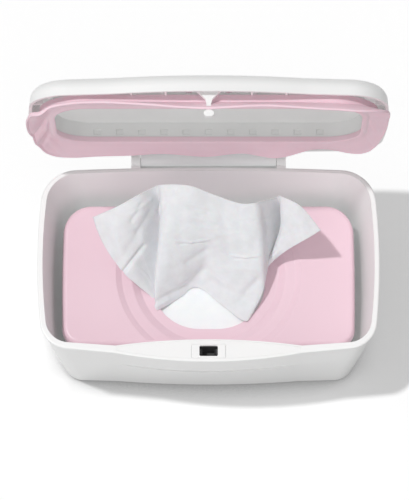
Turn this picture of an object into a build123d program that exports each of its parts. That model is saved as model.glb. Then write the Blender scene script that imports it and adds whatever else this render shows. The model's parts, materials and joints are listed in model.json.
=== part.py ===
"""Wipes dispenser: tub with a touch latch, sealed window lid, weighted plate and wipes."""

from build123d import *
import os


def lerp(low, high, share):
    return low + (high - low) * share


# Tub, millimetres
TUB_HEIGHT = 94.0
RIM_HALF = 112.0
RIM_REAR = 65.6
RIM_REAR_SAG = 3.0
RIM_FRONT = -61.6
RIM_BOW = 4.5
RIM_KNEE = 4.8
RIM_BULGE = 10.9
RIM_REAR_RADIUS = 25.0
RIM_FRONT_RADIUS = 20.0
BASE_HALF = 100.0
BASE_REAR = 58.0
BASE_REAR_SAG = 1.5
BASE_FRONT = -60.6
BASE_BOW = 3.0
BASE_KNEE = 1.0
BASE_BULGE = 3.4
BASE_REAR_RADIUS = 22.0
BASE_FRONT_RADIUS = 14.0
BASE_ROUND = 2.5
KNEE_X = 63.0
KNEE_ROUND = 60.0
CREASE_HEIGHT = TUB_HEIGHT - 34.6
CREASE_BULGE = 9.3
CREASE_DEEP = 1.7
CREASE_WIDE = 1.8
WALL = 2.2
FLOOR = 2.6
RIM_BAND = 3.7
RIM_BAND_REAR = 2.8
RIM_LIP = 1.0
RIM_DEPTH = 6.0
RIM_ROUND = 1.2
LEDGE_KNEE = 3.3
LEDGE_INWARD = 1.1
LEDGE_INSET = 0.3

# Ledge cap and latch, on the front centre
LATCH_Y = RIM_FRONT - 3.2
CAP_HALF = KNEE_X - 1.0
CAP_THICK = 1.8
CAP_GAP = 0.06
CAP_SINK = 0.15
CAP_ROUND = 0.25
CAP_LOW = TUB_HEIGHT - CAP_SINK - CAP_THICK
CAP_EDGE_REAR = 0.9
CAP_EDGE_FRONT = 2.0
CHAMBER_HALF = 44.0
CHAMBER_LOW_HALF = 34.0
CHAMBER_FLOOR = TUB_HEIGHT - 31.4
CHAMBER_GAP = 0.15
APERTURE_X = 12.4
APERTURE_Y = 7.4
APERTURE_RADIUS = 1.0
BEZEL_HALF = 11.6
BEZEL_DEEP = 4.8
HOUSING_X = 11.6
HOUSING_Y = 4.3
HOUSING_WALL = 1.0
HOUSING_BASE = CHAMBER_FLOOR + 1.4
HOUSING_FLOOR = 1.4
HOUSING_TOP = TUB_HEIGHT - 2.3
EAR_X = 14.8
EAR_SEAT = HOUSING_BASE + 4.0
EAR_THICK = 1.6
CARRIAGE_X = 8.4
CARRIAGE_Y = 3.1
CHEEK_Y = 2.3
JAW_Y = 2.0
JAW_PIN_X = 6.4
JAW_PIN_Z = TUB_HEIGHT - 17.0
JAW_PIN_R = 0.8
CARRIAGE_LOW = JAW_PIN_Z - 4.0
PIVOT_Z = TUB_HEIGHT - 26.0
PIVOT_R = 0.7
SPRING_R = 2.4
SPRING_WIRE = 0.3
SPRING_TURNS = 3
RUNNING_GAP = 0.05

# Hinge
HINGE_Y = RIM_REAR + 5.9
HINGE_Z = TUB_HEIGHT - 3.0
LID_OPEN = 88.0
LUG_INNER = 46.7
LUG_THICK = 6.2
LUG_RADIUS = 5.6
LUG_GROOVE = 0.6
PIN_R = 1.6
PIN_IN = 8.0
PIN_SHORT = 1.2
BARREL_R = 4.4
ARM_GAP = 0.4
SHELF_DROP = 6.5
SHELF_THICK = 1.8

# Lid
LID_GAP = 1.0
LID_OVER = 3.0
LID_OVER_FRONT = 0.6
LID_CORNER_MORE = 8.0
LID_DEEP = 13.0
LID_DRAFT = 1.0
LID_WALL = 2.0
SHOULDER = 8.8
LID_TOP_THICK = 2.0
LID_LOW = TUB_HEIGHT + LID_GAP
LID_TOP = LID_LOW + LID_DEEP
LID_UNDER = LID_TOP - LID_TOP_THICK
WINDOW_HALF = RIM_HALF - 8.5
WINDOW_REAR = 30.0
WINDOW_FRONT = -50.0
WINDOW_RADIUS = 25.0
WINDOW_THICK = 1.6
WINDOW_LOW = TUB_HEIGHT - 1.0
WINDOW_TAPER = 2.4
BORDER_DEEP = 1.5
FLANGE_OUT = 6.0
FRAME_OUT = 6.6
FRAME_IN = 2.0
FRAME_THICK = 2.6
MARKS = 11
MARK_PITCH = (WINDOW_HALF - WINDOW_RADIUS - 3.5) / 5
MARK_HALF = 2.4
MARK_DEEP = 0.7
RIB_THICK = 1.2
SCREW_R = 0.88
SCREW_HOLE = 1.2
BOSS_HOLE = 0.9
GASKET_THICK = 1.5
GASKET_LIP_Z = TUB_HEIGHT - 5.7
GASKET_LIP_HALF = RIM_HALF + 4.0
COLLAR_GAP = 0.2
COLLAR_THICK = 1.3
COLLAR_OUT = FRAME_OUT + COLLAR_GAP + COLLAR_THICK
COLLAR_TOP = WINDOW_LOW + 4.2
SLOT_HALF = 4.4
STRIKER_HALF_Y = 1.8
STRIKER_SEAT = LID_LOW + 5.0

# Plate and wipes
PLATE_TOP = TUB_HEIGHT - 34.0
PLATE_DEEP = 8.0
PLATE_LOW = PLATE_TOP - PLATE_DEEP
PLATE_GAP = 2.6
PLATE_HALF = (
    lerp(BASE_HALF - WALL, RIM_HALF - RIM_BAND, PLATE_LOW / TUB_HEIGHT) - PLATE_GAP
)
PLATE_REAR = 49.5
PLATE_FRONT = -51.5
PLATE_REAR_RADIUS = 20.0
PLATE_FRONT_RADIUS = 13.0
PLATE_ROLL = 2.8
PLATE_DRAFT = 1.2
PLATE_THICK = 2.0
COVER_THICK = 1.5
OPENING = 78.0
OPENING_RADIUS = OPENING * 0.423
DISH_R = OPENING * 0.82
DISH_INNER_R = OPENING * 0.68
DISH_DEEP = 4.0
DISH_ROUND = 1.6
STACK_GAP = 4.8
STACK_HALF = BASE_HALF - WALL - STACK_GAP
STACK_Y = 95.0

FOOT_R = 7.0
FOOT_DOWN = 1.5
FOOT_UP = 0.9


def outline(half, rear, front, knee, bulge, bow, radii, z, knee_round=0.0, sag=0.0):
    """A face at height z with bowed sides and rounded corners.

    The front stands out by knee at KNEE_X and by bulge at the middle, the rear
    falls back by sag at its ends; radii are the rear and the front corners'.
    """
    middle = (rear + front) / 2
    end = rear - sag
    with BuildSketch(Plane.XY.offset(z)) as face:
        with BuildLine():
            if sag:
                ThreePointArc((-half, end), (0, rear), (half, end))
            else:
                Line((-half, end), (half, end))
            ThreePointArc((half, end), (half + bow, middle), (half, front))
            if knee:
                Line((half, front), (KNEE_X, front - knee))
                ThreePointArc(
                    (KNEE_X, front - knee), (0, front - bulge), (-KNEE_X, front - knee)
                )
                Line((-KNEE_X, front - knee), (-half, front))
            else:
                ThreePointArc((half, front), (0, front - bulge), (-half, front))
            ThreePointArc((-half, front), (-half - bow, middle), (-half, end))
        make_face()
        fillet([v for v in face.vertices() if v.Y > end - 0.5], radii[0])
        corners = [v for v in face.vertices() if v.Y < middle and abs(v.X) > half - 0.5]
        fillet(corners, radii[1])
        if knee_round:
            knees = [v for v in face.vertices() if abs(abs(v.X) - KNEE_X) < 0.5]
            fillet(knees, knee_round)
    return face.sketch


def tub_face(z, inset, bulge, knee_round=0.0):
    """The tub's outline at height z, taken in by inset."""
    share = z / TUB_HEIGHT
    return outline(
        lerp(BASE_HALF, RIM_HALF, share) - inset,
        lerp(BASE_REAR, RIM_REAR, share) - inset,
        lerp(BASE_FRONT, RIM_FRONT, share) + inset,
        lerp(BASE_KNEE, RIM_KNEE, share),
        bulge,
        lerp(BASE_BOW, RIM_BOW, share),
        (
            lerp(BASE_REAR_RADIUS, RIM_REAR_RADIUS, share) - inset,
            lerp(BASE_FRONT_RADIUS, RIM_FRONT_RADIUS, share) - inset,
        ),
        z,
        knee_round,
        lerp(BASE_REAR_SAG, RIM_REAR_SAG, share),
    )


def rim_face(z, inset):
    """The rim's outline moved to height z, taken in by inset."""
    face = tub_face(TUB_HEIGHT, inset, RIM_BULGE, KNEE_ROUND)
    return Pos(0, 0, z - TUB_HEIGHT) * face


def cavity_face(z):
    """The tub's inner outline at the rim, whose middle stands in over the latch."""
    radii = (RIM_REAR_RADIUS - RIM_BAND, RIM_FRONT_RADIUS - RIM_BAND)
    half = RIM_HALF - RIM_BAND
    rear = RIM_REAR - RIM_BAND_REAR
    front = RIM_FRONT + RIM_BAND
    return outline(
        half, rear, front, LEDGE_KNEE, -LEDGE_INWARD, RIM_BOW, radii, z, sag=RIM_REAR_SAG
    )


def lid_face(z, inset):
    """The lid's outline at height z, taken in by inset."""
    return outline(
        RIM_HALF + LID_OVER - inset,
        RIM_REAR - inset,
        RIM_FRONT - LID_OVER_FRONT + inset,
        RIM_KNEE,
        RIM_BULGE,
        RIM_BOW,
        (
            RIM_REAR_RADIUS + LID_OVER - inset,
            RIM_FRONT_RADIUS + LID_CORNER_MORE - inset,
        ),
        z,
        KNEE_ROUND,
        RIM_REAR_SAG,
    )


def between(low, high):
    """A solid lofted from one face to another."""
    return loft([low.face(), high.face()])


def box(x, y, z):
    """A box given by its two limits on each axis."""
    size = (x[1] - x[0], y[1] - y[0], z[1] - z[0])
    place = (sum(x) / 2, sum(y) / 2, sum(z) / 2)
    return Pos(*place) * Box(*size)


def rod(radius, start, end):
    """A round rod from start to end."""
    axis = Vector(*end) - Vector(*start)
    place = Plane(origin=start, z_dir=axis)
    return place * Cylinder(radius, axis.length, align=(Align.CENTER, Align.CENTER, Align.MIN))


def across(points, x):
    """A profile of (y, z) points, extruded along X between the two limits in x."""
    with BuildSketch(Plane.YZ.offset(x[0])) as face:
        with BuildLine():
            Polyline(*points, close=True)
        make_face()
    return extrude(face.sketch, x[1] - x[0])


def lens(half, inner, outer, z):
    """The ledge's lens-shaped face: two arcs, each through three points."""
    with BuildSketch(Plane.XY.offset(z)) as face:
        with BuildLine():
            ThreePointArc((-half, inner[1]), (0, inner[0]), (half, inner[1]))
            Line((half, inner[1]), (half, outer[1]))
            ThreePointArc((half, outer[1]), (0, outer[0]), (-half, outer[1]))
            Line((-half, outer[1]), (-half, inner[1]))
        make_face()
    return face.sketch


def ledge_sag(x):
    """How far the ledge's front falls back at x from its middle."""
    return (RIM_BULGE - RIM_KNEE) * (x / KNEE_X) ** 2


def cap_face(z, gap):
    """The cap's outline, or its seat's with no gap."""
    half = CAP_HALF - gap
    front = RIM_FRONT - RIM_BULGE + CAP_EDGE_FRONT + gap
    rear = RIM_FRONT + RIM_BAND + LEDGE_INWARD - CAP_EDGE_REAR - gap
    rear_end = RIM_FRONT + RIM_BAND - LEDGE_KNEE - CAP_EDGE_REAR - gap
    return lens(half, (rear, rear_end), (front, front + ledge_sag(half)), z)


def chamber():
    """The hollow in the ledge that the latch sits in."""
    rear = LATCH_Y + HOUSING_Y + CHAMBER_GAP
    front = LATCH_Y - HOUSING_Y - CHAMBER_GAP - ledge_sag(HOUSING_X)
    faces = []
    for half, z in ((CHAMBER_LOW_HALF, CHAMBER_FLOOR), (CHAMBER_HALF, TUB_HEIGHT)):
        faces.append(lens(half, (rear, rear - 0.4), (front, front + ledge_sag(half)), z))
    return between(*faces)


def tub_shell():
    """Tapered tub with a rim band, a front ledge over a crease, and hinge lugs."""
    under_rim = TUB_HEIGHT - RIM_DEPTH / 2
    lower = between(tub_face(0, 0, BASE_BULGE), tub_face(CREASE_HEIGHT, 0, CREASE_BULGE))
    lower = fillet(lower.edges().group_by(Axis.Z)[0], BASE_ROUND)
    core = between(
        tub_face(CREASE_HEIGHT, 0, CREASE_BULGE - CREASE_DEEP),
        tub_face(under_rim, RIM_LIP, RIM_BULGE - CREASE_DEEP),
    )
    ledge = between(
        tub_face(CREASE_HEIGHT + CREASE_WIDE, LEDGE_INSET, CREASE_BULGE, KNEE_ROUND),
        tub_face(under_rim, RIM_LIP + LEDGE_INSET, RIM_BULGE, KNEE_ROUND),
    )
    band = between(rim_face(TUB_HEIGHT - RIM_DEPTH, RIM_LIP / 2), rim_face(TUB_HEIGHT, 0))
    band = fillet(band.edges().group_by(Axis.Z)[-1], RIM_ROUND)
    cavity = between(tub_face(FLOOR, WALL, BASE_BULGE), cavity_face(TUB_HEIGHT))
    shell = lower + core + ledge + band - cavity
    shell -= chamber()
    shell -= extrude(cap_face(CAP_LOW, 0), RIM_DEPTH)
    shell += hinge_shelf()
    shell += hinge_lugs()
    shell += latch_bosses()
    for place in foot_places():
        shell -= Pos(place[0], place[1], 0) * Cylinder(FOOT_R + 0.1, 2 * FOOT_UP)
    return shell


def hinge_shelf():
    """The web under the hinge barrel that ties the two lugs together."""
    top = HINGE_Z - SHELF_DROP
    return box(
        (-LUG_INNER - 1, LUG_INNER + 1),
        (RIM_REAR - WALL + 0.6, HINGE_Y + 0.5),
        (top - SHELF_THICK, top),
    )


def hinge_lugs():
    """Two grooved lugs behind the rim, bored from inside for the hinge pins."""
    lugs = None
    for side in (-1, 1):
        x = sorted((side * LUG_INNER, side * (LUG_INNER + LUG_THICK)))
        wall = RIM_REAR - 4.0
        web = across(
            [
                (wall, HINGE_Z - 20),
                (HINGE_Y + 2, HINGE_Z - 5),
                (HINGE_Y + 2, HINGE_Z + 2),
                (HINGE_Y, HINGE_Z + 3),
                (wall, HINGE_Z + 2.5),
            ],
            x,
        )
        lug = web + rod(LUG_RADIUS, (x[0], HINGE_Y, HINGE_Z), (x[1], HINGE_Y, HINGE_Z))
        lug = lug & box(x, (RIM_REAR - 1.9, HINGE_Y + 10), (HINGE_Z - 25, HINGE_Z + 10))
        for start in (x[0] + 1.7, x[1] - 1.7 - LUG_GROOVE):
            ends = ((start, HINGE_Y, HINGE_Z), (start + LUG_GROOVE, HINGE_Y, HINGE_Z))
            groove = rod(LUG_RADIUS + 1, *ends) - rod(LUG_RADIUS - LUG_GROOVE, *ends)
            lug -= groove & box(x, (RIM_REAR + 1, HINGE_Y + 10), (HINGE_Z - 2, HINGE_Z + 10))
        start = (side * (LUG_INNER - 1), HINGE_Y, HINGE_Z)
        end = (side * (LUG_INNER + LUG_THICK - PIN_SHORT), HINGE_Y, HINGE_Z)
        lug -= rod(PIN_R, start, end)
        lugs = lug if lugs is None else lugs + lug
    return lugs


def latch_bosses():
    """Two posts on the chamber's floor that the latch housing is screwed to."""
    posts = None
    for side in (-1, 1):
        x = side * EAR_X
        post = rod(2.4, (x, LATCH_Y, CHAMBER_FLOOR - 0.5), (x, LATCH_Y, EAR_SEAT))
        post -= rod(BOSS_HOLE, (x, LATCH_Y, CHAMBER_FLOOR + 1), (x, LATCH_Y, HOUSING_BASE + 5))
        posts = post if posts is None else posts + post
    return posts


def foot_places():
    x = BASE_HALF - 18.0
    return [(sx * x, y) for sx in (-1, 1) for y in (BASE_FRONT + 17.6, BASE_REAR - 16.0)]


def non_slip_feet():
    """Four rubber pads set into the base."""
    feet = []
    for place in foot_places():
        pad = Cylinder(FOOT_R, FOOT_DOWN + FOOT_UP - 0.05)
        pad = chamfer(pad.edges().group_by(Axis.Z)[0], 0.6)
        feet.append(Pos(place[0], place[1], (FOOT_UP - 0.05 - FOOT_DOWN) / 2) * pad)
    return Compound(children=feet)


def ledge_cap():
    """The lens-shaped cap over the latch chamber, with the bezel's window."""
    cap = extrude(cap_face(CAP_LOW, CAP_GAP), CAP_THICK)
    cap = fillet(cap.edges().group_by(Axis.Z)[-1], CAP_ROUND)
    cap -= box(
        (-BEZEL_HALF, BEZEL_HALF),
        (LATCH_Y - BEZEL_DEEP, LATCH_Y + BEZEL_DEEP),
        (CAP_LOW - 1, CAP_LOW + 3),
    )
    for side in (-1, 1):
        snap = side * CHAMBER_LOW_HALF
        cap += box(
            (snap - 4, snap + 4),
            (LATCH_Y + 0.4, LATCH_Y + 1.6),
            (CAP_LOW - 9, CAP_LOW + 0.5),
        )
    return cap


def latch_bezel():
    """The white surround that drops into the cap and frames the aperture."""
    x = BEZEL_HALF - 0.1
    y = BEZEL_DEEP - 0.1
    plate = box((-x, x), (LATCH_Y - y, LATCH_Y + y), (CAP_LOW, CAP_LOW + CAP_THICK + 0.2))
    plate = fillet(plate.edges().group_by(Axis.Z)[-1], 0.4)
    hole = Pos(0, LATCH_Y, 0) * extrude(
        Pos(0, 0, CAP_LOW - 1) * RectangleRounded(APERTURE_X, APERTURE_Y, APERTURE_RADIUS), 5
    )
    return plate - hole


def latch_housing():
    """Open-topped guide box for the latch, with a screw ear on each side."""
    y = (LATCH_Y - HOUSING_Y, LATCH_Y + HOUSING_Y)
    body = box((-HOUSING_X, HOUSING_X), y, (HOUSING_BASE, HOUSING_TOP))
    wall = HOUSING_WALL
    body -= box(
        (-HOUSING_X + wall, HOUSING_X - wall),
        (y[0] + wall, y[1] - wall),
        (HOUSING_BASE + HOUSING_FLOOR, HOUSING_TOP + 1),
    )
    ear_z = (EAR_SEAT + 0.02, EAR_SEAT + EAR_THICK)
    for side in (-1, 1):
        x = side * EAR_X
        ear = rod(2.6, (x, LATCH_Y, ear_z[0]), (x, LATCH_Y, ear_z[1]))
        ear += box(sorted((side * (HOUSING_X - 0.5), x)), (LATCH_Y - 2, LATCH_Y + 2), ear_z)
        body += ear - rod(SCREW_HOLE, (x, LATCH_Y, EAR_SEAT - 1), (x, LATCH_Y, EAR_SEAT + 3))
        body -= rod(0.6, (side * 9, LATCH_Y, HOUSING_BASE - 1), (side * 9, LATCH_Y, HOUSING_BASE + 3))
    pivot = HOUSING_X - wall
    body += rod(PIVOT_R, (pivot + 0.2, LATCH_Y, PIVOT_Z), (pivot - 1.5, LATCH_Y, PIVOT_Z))
    return body


def latch_screws():
    """Two short screws through the housing's ears."""
    screws = []
    seat = EAR_SEAT + EAR_THICK
    for side in (-1, 1):
        x = side * EAR_X
        head = rod(2.1, (x, LATCH_Y, seat + 0.02), (x, LATCH_Y, seat + 1.5))
        head -= box((x - 1.4, x + 1.4), (LATCH_Y - 0.3, LATCH_Y + 0.3), (seat + 0.9, seat + 2))
        shank = rod(SCREW_R, (x, LATCH_Y, CHAMBER_FLOOR + 1.4), (x, LATCH_Y, seat + 0.1))
        screws.append(head + shank)
    return Compound(children=screws)


def coil(radius, wire, low, high, turns, centre):
    """A round-wire compression spring standing on Z."""
    pitch = (high - low - 2 * wire) / turns
    path = Helix(pitch, high - low - 2 * wire, radius)
    start = Plane(origin=path @ 0, z_dir=path % 0)
    spring = sweep(start * Circle(wire), path=path)
    return Pos(centre[0], centre[1], low + wire) * spring


def latch_spring():
    """The return spring under the latch carriage."""
    low = HOUSING_BASE + HOUSING_FLOOR + RUNNING_GAP
    return coil(SPRING_R, SPRING_WIRE, low, CARRIAGE_LOW - 0.1, SPRING_TURNS, (0, LATCH_Y))


def latch_carriage():
    """The sprung carriage: a floor, two cheeks and the jaw pins' holes."""
    y = LATCH_Y
    low = CARRIAGE_LOW
    deep = (y - CARRIAGE_Y, y + CARRIAGE_Y)
    body = box((-4.6, 4.6), deep, (low, JAW_PIN_Z + 2.0))
    body += box((-CARRIAGE_X, CARRIAGE_X), deep, (low, low + 1.4))
    for side in (-1, 1):
        cheek = sorted((y + side * CHEEK_Y, y + side * CARRIAGE_Y))
        body += box((-CARRIAGE_X, CARRIAGE_X), cheek, (low, JAW_PIN_Z + 2.2))
    for side in (-1, 1):
        x = side * JAW_PIN_X
        body -= rod(JAW_PIN_R, (x, y - 5, JAW_PIN_Z), (x, y + 5, JAW_PIN_Z))
    groove = CARRIAGE_X - 0.5
    body -= box((groove, CARRIAGE_X + 1), (y - 1.2, y + 1.2), (low - 1, JAW_PIN_Z - 1.5))
    return body


def jaw(side):
    """One hooked jaw, open at rest; side is -1 on the left and 1 on the right."""
    y = (LATCH_Y - JAW_Y, LATCH_Y + JAW_Y)
    z = JAW_PIN_Z
    points = [
        (5.1, z - 1.2),
        (5.6, z + 10.0),
        (3.9, z + 11.6),
        (3.9, z + 12.8),
        (5.0, z + 14.2),
        (7.3, z + 14.2),
        (7.9, z + 12.5),
        (8.0, z + 1.5),
        (7.4, z - 1.2),
    ]
    with BuildSketch(Plane.XZ.offset(-y[1])) as face:
        with BuildLine():
            Polyline(*[(side * p[0], p[1]) for p in points], close=True)
        make_face()
    body = extrude(face.sketch, y[1] - y[0])
    x = side * JAW_PIN_X
    hole = rod(JAW_PIN_R + RUNNING_GAP, (x, y[0] - 1, z), (x, y[1] + 1, z))
    return body - hole


def jaw_pins():
    """The two pins that the jaws turn on."""
    pins = []
    for side in (-1, 1):
        x = side * JAW_PIN_X
        pins.append(
            rod(JAW_PIN_R, (x, LATCH_Y - CARRIAGE_Y, JAW_PIN_Z), (x, LATCH_Y + CARRIAGE_Y, JAW_PIN_Z))
        )
    return Compound(children=pins)


def cam_follower():
    """The lever that rides the carriage's cam groove, on a stud of the housing."""
    x = HOUSING_X - HOUSING_WALL - 0.3
    tip = JAW_PIN_Z - 2.9
    lever = box((x - 0.9, x), (LATCH_Y - 0.6, LATCH_Y + 0.6), (PIVOT_Z, tip + 0.5))
    lever += rod(1.6, (x - 0.9, LATCH_Y, PIVOT_Z), (x, LATCH_Y, PIVOT_Z))
    lever += rod(0.5, (x - 1.7, LATCH_Y, tip), (x - 0.5, LATCH_Y, tip))
    hole = rod(PIVOT_R + RUNNING_GAP, (x - 3, LATCH_Y, PIVOT_Z), (x + 1, LATCH_Y, PIVOT_Z))
    return lever - hole


def hinge_pins():
    """Two stub pins pressed into the lugs, on which the lid arm turns."""
    pins = []
    for side in (-1, 1):
        start = (side * (LUG_INNER - PIN_IN), HINGE_Y, HINGE_Z)
        end = (side * (LUG_INNER + LUG_THICK - PIN_SHORT), HINGE_Y, HINGE_Z)
        pins.append(rod(PIN_R, start, end))
    return Compound(children=pins)


def swung_open(shape):
    """Turns a closed lid piece to its open place about the hinge."""
    return (
        Pos(0, HINGE_Y, HINGE_Z) * Rot(-LID_OPEN, 0, 0) * Pos(0, -HINGE_Y, -HINGE_Z) * shape
    )


def window_face(z, grow, radius=WINDOW_RADIUS):
    """The window's rounded rectangle at height z."""
    width = 2 * (WINDOW_HALF + grow)
    depth = WINDOW_REAR - WINDOW_FRONT + 2 * grow
    middle = (WINDOW_REAR + WINDOW_FRONT) / 2
    return Pos(0, middle, z) * RectangleRounded(width, depth, radius + grow)


def lid_form(inset, top, shoulder):
    """The lid's outer form, or its hollow where inset is the wall."""
    form = between(lid_face(LID_LOW, inset), lid_face(top, inset + LID_DRAFT))
    return fillet(form.edges().group_by(Axis.Z)[-1], shoulder)


def lid_shell():
    """The lid's white frame: skirt, round shoulder, ribs and the window's opening."""
    hollow = lid_form(LID_WALL, LID_UNDER, SHOULDER - LID_WALL)
    shell = lid_form(0, LID_TOP, SHOULDER) - hollow
    shell += lid_ribs() & hollow
    shell -= extrude(window_face(LID_UNDER - 4, -2), 10)
    arm = LUG_INNER + LUG_THICK + 2
    shell -= box((-arm, arm), (RIM_REAR - 6.5, RIM_REAR + 4), (LID_LOW - 1, LID_LOW + 6.5))
    for x, y in boss_places():
        boss = rod(2.6, (x, y, LID_LOW + 4.1), (x, y, LID_UNDER + 0.2))
        shell += boss - rod(BOSS_HOLE, (x, y, LID_LOW + 3), (x, y, LID_UNDER - 0.6))
    for x in striker_screw_places():
        boss = rod(2.2, (x, LATCH_Y, STRIKER_SEAT + 0.1), (x, LATCH_Y, LID_UNDER + 0.2))
        shell += boss - rod(BOSS_HOLE, (x, LATCH_Y, LID_LOW + 3), (x, LATCH_Y, LID_UNDER - 1))
    return shell


def lid_ribs():
    """Thin ribs between the window's frame and the skirt, larger than their space."""
    z = (LID_LOW + 1.5, LID_TOP)
    half = RIB_THICK / 2
    walls = []
    for side in (-1, 1):
        for share in (0.25, 0.45, 0.75, 0.93):
            x = side * share * RIM_HALF
            walls.append(((x - half, x + half), (2 * RIM_FRONT, WINDOW_FRONT)))
        for share in (0.61, 0.82):
            x = side * share * RIM_HALF
            walls.append(((x - half, x + half), (WINDOW_REAR, 2 * RIM_REAR)))
        for y in (-38, -10, 18):
            reach = sorted((side * WINDOW_HALF, side * 1.3 * RIM_HALF))
            walls.append((reach, (y - half, y + half)))
    ribs = None
    for x, y in walls:
        rib = box(x, y, z)
        ribs = rib if ribs is None else ribs + rib
    return ribs - extrude(window_face(LID_LOW, COLLAR_OUT + 0.3), LID_DEEP + 1)


def boss_places():
    return [(x, 52.0) for x in (-36.0, -12.0, 12.0, 36.0)]


def striker_screw_places():
    return [-13.0, 13.0]


def lid_window():
    """The translucent tray: panel, walls with shallow marks, a border and a flange."""
    low = WINDOW_LOW - BORDER_DEEP
    top = LID_UNDER - 0.1
    thick = WINDOW_THICK
    tray = between(window_face(low, thick), window_face(top, thick - WINDOW_TAPER))
    tray -= between(window_face(low - 0.01, 0), window_face(top - thick, -WINDOW_TAPER))
    flange = extrude(window_face(WINDOW_LOW, FLANGE_OUT), thick)
    flange -= extrude(window_face(WINDOW_LOW - 1, thick / 2), thick + 2)
    tray += flange
    for i in range(MARKS):
        x = (i - (MARKS - 1) / 2) * MARK_PITCH
        tray -= mark_cut(x)
    return tray


def mark_cut(x):
    """One shallow mark in the tray's rear wall, sunk along the wall's slope."""
    z = (WINDOW_LOW + 3.6, WINDOW_LOW + 6.8)
    slope = WINDOW_TAPER / (LID_UNDER - WINDOW_LOW)
    low_y = WINDOW_REAR - slope * (z[0] - WINDOW_LOW + BORDER_DEEP) + MARK_DEEP
    high_y = WINDOW_REAR - slope * (z[1] - WINDOW_LOW + BORDER_DEEP) + MARK_DEEP
    ring = [(low_y - 2, z[0]), (low_y, z[0]), (high_y, z[1]), (high_y - 2, z[1])]
    return across(ring, (x - MARK_HALF, x + MARK_HALF))


def window_frame():
    """The white ring that clamps the gasket's root against the window's flange."""
    low = WINDOW_LOW + WINDOW_THICK + 0.1
    ring = extrude(window_face(low, FRAME_OUT), FRAME_THICK)
    ring -= extrude(window_face(low - 1, FRAME_IN), 8)
    for side in (-1, 1):
        for end in (WINDOW_REAR + 4.6, WINDOW_FRONT - 4.6):
            for share in (0.29, 0.72):
                x = side * share * WINDOW_HALF
                ring += rod(1.6, (x, end, low + 2), (x, end, LID_UNDER - 0.05))
    return ring


def gasket_cone(drop):
    """The gasket's outer form from its root to its lip, lowered by drop."""
    root_z = WINDOW_LOW - 0.02 - drop
    root = window_face(root_z, WINDOW_THICK + 1.0)
    lip = outline(
        GASKET_LIP_HALF, RIM_REAR - 9.6, RIM_FRONT - 2.4, 0, 4.0, 2.0, (30.0, 27.0), GASKET_LIP_Z - drop
    )
    return between(root, lip)


def lid_gasket():
    """The soft pink seal: a collar round the frame and a skirt that flares to the rim."""
    skirt = gasket_cone(0) - gasket_cone(GASKET_THICK)
    collar = extrude(window_face(WINDOW_LOW - GASKET_THICK, COLLAR_OUT), COLLAR_TOP - WINDOW_LOW + 1)
    collar -= extrude(window_face(WINDOW_LOW - 0.02, COLLAR_OUT - COLLAR_THICK), 2 * GASKET_THICK + 4)
    seal = skirt + (collar - gasket_cone(GASKET_THICK))
    seal -= extrude(window_face(GASKET_LIP_Z - 5, WINDOW_THICK + COLLAR_GAP), 20)
    neck = box(
        (-SLOT_HALF, SLOT_HALF),
        (LATCH_Y - STRIKER_HALF_Y - 0.3, LATCH_Y + STRIKER_HALF_Y + 0.3),
        (GASKET_LIP_Z - 5, LID_LOW),
    )
    return seal - neck


def lid_arm():
    """The hinge arm: a barrel between the lugs and a plate screwed to the lid."""
    half = LUG_INNER - ARM_GAP
    low = LID_LOW + 1.0
    barrel = rod(BARREL_R, (-half, HINGE_Y, HINGE_Z), (half, HINGE_Y, HINGE_Z))
    web = across(
        [
            (HINGE_Y - 0.5, HINGE_Z + 2),
            (HINGE_Y + 4.2, HINGE_Z),
            (HINGE_Y + 3.2, low + 3),
            (46.0, low + 3),
            (46.0, low),
            (HINGE_Y - 4.5, low),
        ],
        (-half, half),
    )
    arm = barrel + web
    for x in (-30.0, -10.0, 10.0, 30.0):
        arm += across([(HINGE_Y + 3, low + 2.9), (HINGE_Y - 10, low + 4.6), (56, low + 2.9)], (x - 1, x + 1))
    for side in (-1, 1):
        start = (side * (half - 9), HINGE_Y, HINGE_Z)
        arm -= rod(PIN_R + RUNNING_GAP, start, (side * (half + 1), HINGE_Y, HINGE_Z))
    for x, y in boss_places():
        arm -= rod(SCREW_HOLE, (x, y, low - 1), (x, y, low + 8))
    return arm


def arm_screws():
    """Four screws that hold the arm to the lid's bosses."""
    low = LID_LOW + 1.0
    screws = []
    for x, y in boss_places():
        head = rod(2.2, (x, y, low - 1.3), (x, y, low - 0.02))
        head -= box((x - 1.5, x + 1.5), (y - 0.3, y + 0.3), (low - 2, low - 0.8))
        screws.append(head + rod(SCREW_R, (x, y, low - 0.1), (x, y, low + 8)))
    return Compound(children=screws)


def striker():
    """The white web, neck and head that the latch's jaws close on."""
    seat = STRIKER_SEAT
    plate = box((-16.0, 16.0), (LATCH_Y - 3.2, LATCH_Y + 3.2), (seat - 2.0, seat))
    half_ring = [
        (8.8, seat - 1.9),
        (2.4, TUB_HEIGHT - 2.2),
        (1.5, TUB_HEIGHT - 5.5),
        (1.5, TUB_HEIGHT - 10.0),
        (3.25, TUB_HEIGHT - 10.8),
        (3.25, TUB_HEIGHT - 12.8),
        (2.0, TUB_HEIGHT - 14.0),
    ]
    ring = half_ring + [(-p[0], p[1]) for p in reversed(half_ring)]
    with BuildSketch(Plane.XZ.offset(-LATCH_Y - STRIKER_HALF_Y)) as face:
        with BuildLine():
            Polyline(*ring, close=True)
        make_face()
    body = plate + extrude(face.sketch, 2 * STRIKER_HALF_Y)
    for x in striker_screw_places():
        body -= rod(SCREW_HOLE, (x, LATCH_Y, seat - 4), (x, LATCH_Y, seat + 1))
    return body


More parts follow.
